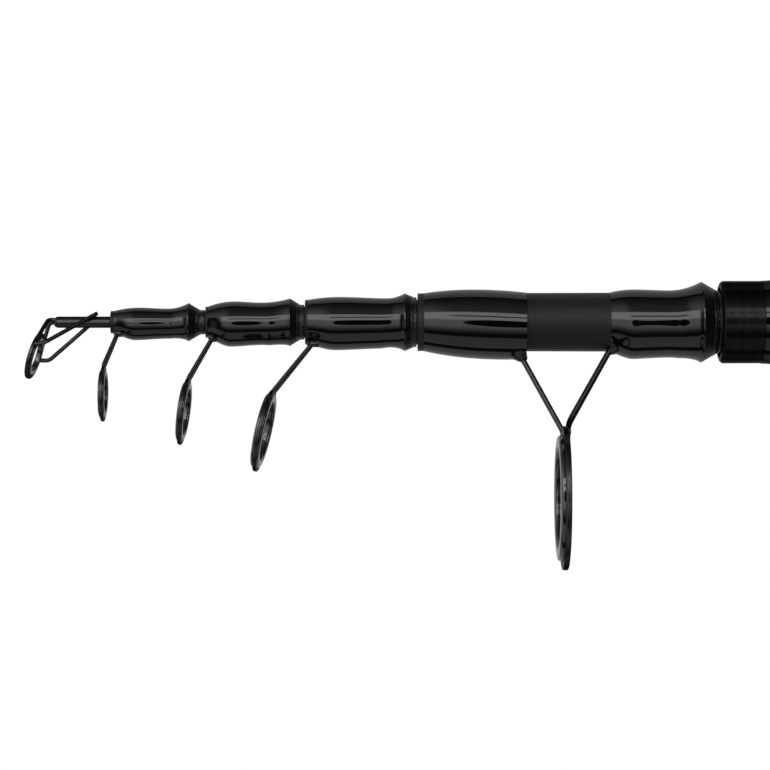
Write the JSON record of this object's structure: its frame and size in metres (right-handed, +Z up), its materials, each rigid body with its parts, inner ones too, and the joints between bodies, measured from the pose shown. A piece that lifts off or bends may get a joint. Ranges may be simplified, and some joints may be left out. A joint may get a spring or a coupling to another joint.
{
  "type": "telescopic fishing rod",
  "caption": "Closed telescopic fishing rod with nested carbon sections, ringed line guides, a screw reel seat, foam grips and a screw butt cap.",
  "frame": {"origin": "on the rod's axis at the rear end of the rear grip", "axes": "+X along the rod towards the butt, +Z up, the guides and the reel seat's pockets on the -Z side"},
  "size_m": [0.7428, 0.0402, 0.0902],
  "materials": {
    "blank_matte": "matte lacquer over carbon",
    "butt_gloss": "gloss lacquer over carbon",
    "wrap_gloss": "clear epoxy over black thread",
    "guide_metal": "black plated",
    "guide_ceramic": "polished",
    "trim_metal": "black anodised",
    "hood_metal": "black satin",
    "seat_plastic": "moulded",
    "grip_foam": "closed-cell foam",
    "soft_rubber": "moulded"
  },
  "bodies": {
    "butt": {"butt_blank": "butt_gloss", "butt_wrap": "wrap_gloss", "front_check": "trim_metal", "foregrip": "grip_foam", "seat_barrel": "seat_plastic", "fixed_hood": "hood_metal", "rear_check": "trim_metal", "rear_grip": "grip_foam", "butt_ferrule": "trim_metal"},
    "section5": {"section5_blank": "blank_matte", "section5_front_wrap": "wrap_gloss", "section5_rear_wrap": "wrap_gloss", "section5_guide_frame": "guide_metal", "section5_guide_ring": "guide_ceramic"},
    "section4": {"section4_blank": "blank_matte", "section4_wrap": "wrap_gloss", "section4_guide_frame": "guide_metal", "section4_guide_ring": "guide_ceramic"},
    "section3": {"section3_blank": "blank_matte", "section3_wrap": "wrap_gloss", "section3_guide_frame": "guide_metal", "section3_guide_ring": "guide_ceramic"},
    "section2": {"section2_blank": "blank_matte", "section2_wrap": "wrap_gloss", "section2_guide_frame": "guide_metal", "section2_guide_ring": "guide_ceramic"},
    "tip": {"tip_blank": "blank_matte", "tip_guide_tube": "guide_metal", "tip_guide_frame": "guide_metal", "tip_guide_ring": "guide_ceramic"},
    "sliding_hood": {"sliding_hood": "hood_metal"},
    "lock_nut": {"lock_nut": "seat_plastic"},
    "cap_seal": {"seal_ring": "soft_rubber"},
    "butt_cap": {"butt_plug": "seat_plastic", "butt_bumper": "soft_rubber", "damper_pad": "soft_rubber"}
  },
  "joints": [
    {"name": "section5_slide", "type": "slide", "parent": "butt", "child": "section5", "axis": [-1, 0, 0], "range_m": [0, 0.4517]},
    {"name": "section4_slide", "type": "slide", "parent": "section5", "child": "section4", "axis": [-1, 0, 0], "range_m": [0, 0.5479]},
    {"name": "section3_slide", "type": "slide", "parent": "section4", "child": "section3", "axis": [-1, 0, 0], "range_m": [0, 0.585]},
    {"name": "section2_slide", "type": "slide", "parent": "section3", "child": "section2", "axis": [-1, 0, 0], "range_m": [0, 0.6184]},
    {"name": "tip_slide", "type": "slide", "parent": "section2", "child": "tip", "axis": [-1, 0, 0], "range_m": [0, 0.6505]},
    {"name": "hood_slide", "type": "slide", "parent": "butt", "child": "sliding_hood", "axis": [1, 0, 0], "range_m": [0, 0.02]},
    {"name": "nut_turn", "type": "hinge", "parent": "sliding_hood", "child": "lock_nut", "pos_m": [-0.3162, 0, 0], "axis": [1, 0, 0], "range_deg": [0, 3600]},
    {"name": "cap_slide", "type": "slide", "parent": "butt", "child": "cap_seal", "axis": [1, 0, 0], "range_m": [0, 0.01]},
    {"name": "cap_turn", "type": "hinge", "parent": "cap_seal", "child": "butt_cap", "pos_m": [0, 0, 0], "axis": [1, 0, 0], "range_deg": [0, 2400]}
  ],
  "couplings": [
    {"joint": "nut_turn", "follows": "hood_slide", "rad_per_m": 3141.6},
    {"joint": "cap_turn", "follows": "cap_slide", "rad_per_m": 4188.8}
  ]
}
